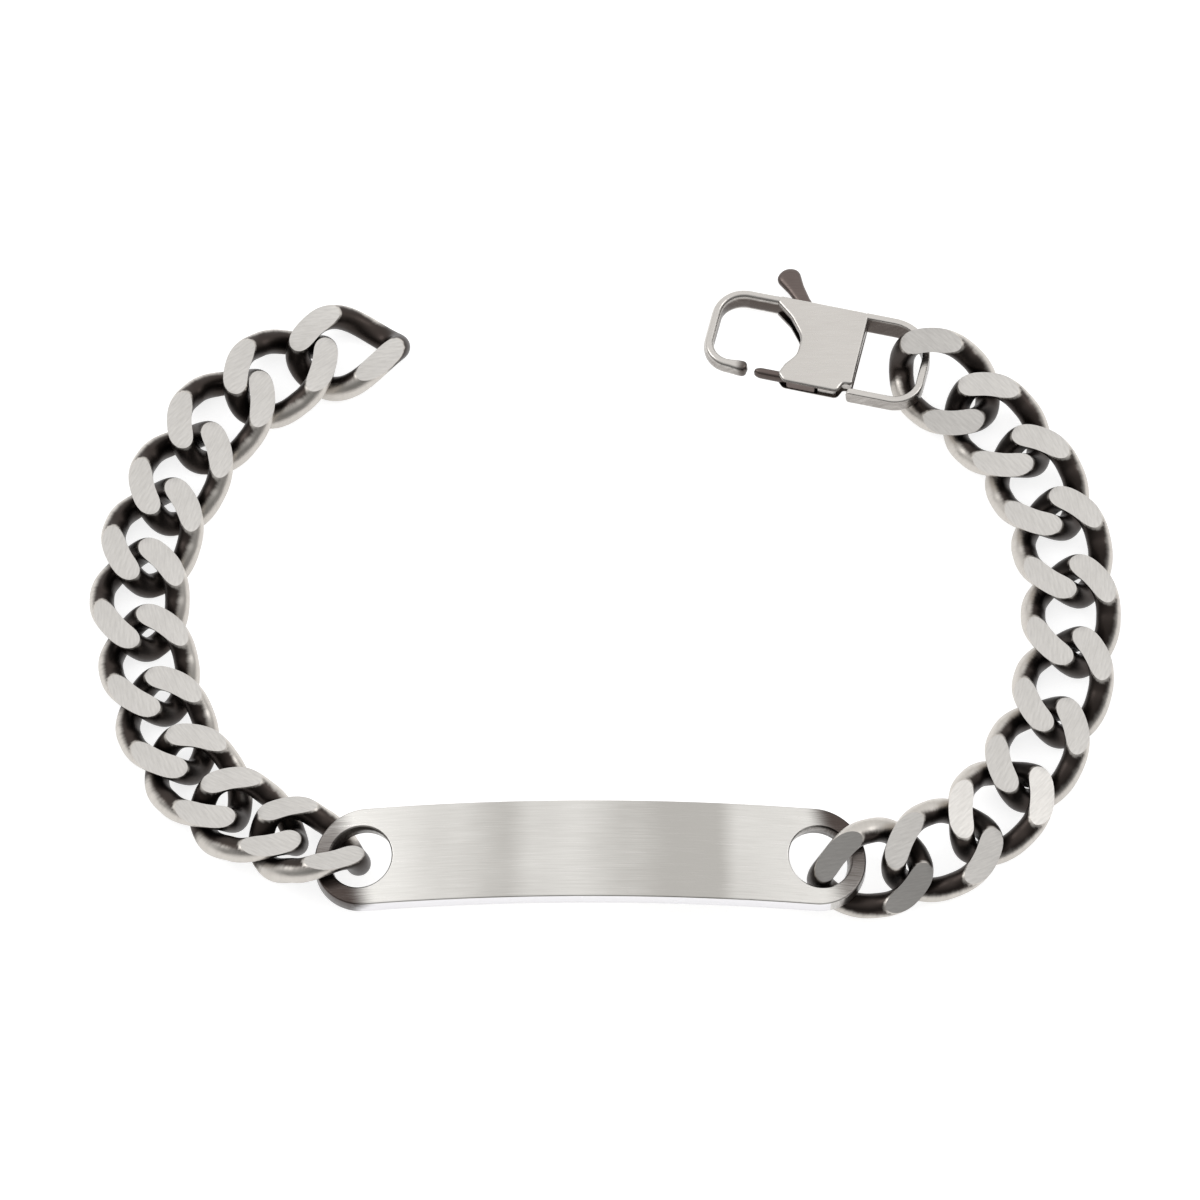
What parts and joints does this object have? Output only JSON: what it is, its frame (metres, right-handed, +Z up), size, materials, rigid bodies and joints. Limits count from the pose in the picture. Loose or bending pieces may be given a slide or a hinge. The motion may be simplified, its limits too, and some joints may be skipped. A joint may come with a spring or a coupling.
{
  "type": "id bracelet",
  "caption": "Steel identity bracelet lying open: curved plate, twisted curb-link chain and a hook clasp with a sprung thumb lever.",
  "frame": {"origin": "on the surface that the bracelet lies on, under the middle of its bounding box", "axes": "+Z up from the surface; +X along the plate towards the clasp's side of the chain; +Y from the plate towards the clasp and the end link"},
  "size_m": [0.0954, 0.0652, 0.0073],
  "materials": {
    "plate_steel": "satin, brushed along the plate",
    "link_steel": "brushed ground flats, darkened sides",
    "clasp_steel": "fine satin",
    "lever_steel": "darkened satin"
  },
  "bodies": {
    "bracelet": {"plate": "plate_steel", "left_link_1": "link_steel", "left_link_2": "link_steel", "left_link_3": "link_steel", "left_link_4": "link_steel", "left_link_5": "link_steel", "left_link_6": "link_steel", "left_link_7": "link_steel", "left_link_8": "link_steel", "left_link_9": "link_steel", "left_link_10": "link_steel", "end_link": "link_steel", "right_link_1": "link_steel", "right_link_2": "link_steel", "right_link_3": "link_steel", "right_link_4": "link_steel", "right_link_5": "link_steel", "right_link_6": "link_steel", "right_link_7": "link_steel", "right_link_8": "link_steel", "right_link_9": "link_steel", "right_link_10": "link_steel", "clasp_body": "clasp_steel", "lever_pin": "lever_steel"},
    "lever": {"clasp_lever": "lever_steel"}
  },
  "joints": [
    {"name": "lever_hinge", "type": "hinge", "parent": "bracelet", "child": "lever", "pos_m": [0.01997, 0.02539, 0.0021], "axis": [0.0167, 0.2269, 0.9738], "range_deg": [-26, 0], "stiffness_Nm_per_rad": 0.005, "springref_deg": 8.59}
  ]
}
